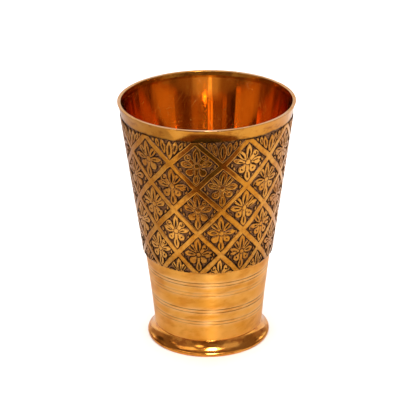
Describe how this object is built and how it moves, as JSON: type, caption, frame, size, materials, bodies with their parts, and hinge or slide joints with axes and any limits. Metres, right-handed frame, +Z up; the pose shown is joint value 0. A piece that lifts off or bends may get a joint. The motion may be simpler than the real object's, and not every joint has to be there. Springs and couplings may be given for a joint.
{
  "type": "brass drinking tumbler",
  "caption": "Tapered open drinking tumbler of cast brass with a plain turned lip, a raised band of carved diamonds, a plain lower band and a flared hollow foot ring.",
  "frame": {"origin": "centre of the foot ring's flat underside, which rests on the table", "axes": "+Z up along the tumbler's axis, from the foot to the lip; +X and +Y are any two horizontal directions, with +X through a diamond of the second row"},
  "size_m": [0.085, 0.085, 0.1225],
  "materials": {
    "carved_brass": "cast and turned brass, carved ground darkened, raised parts rubbed bright",
    "inside_brass": "turned smooth, semi-polished, reddish with reflections of itself",
    "polished_brass": "turned and buffed bright",
    "brazing_metal": "pale brazing metal, dull and slightly uneven"
  },
  "bodies": {
    "root": {"wall": "carved_brass", "floor_disc": "inside_brass", "foot_ring": "polished_brass", "floor_braze": "brazing_metal", "foot_braze": "brazing_metal"}
  },
  "joints": []
}
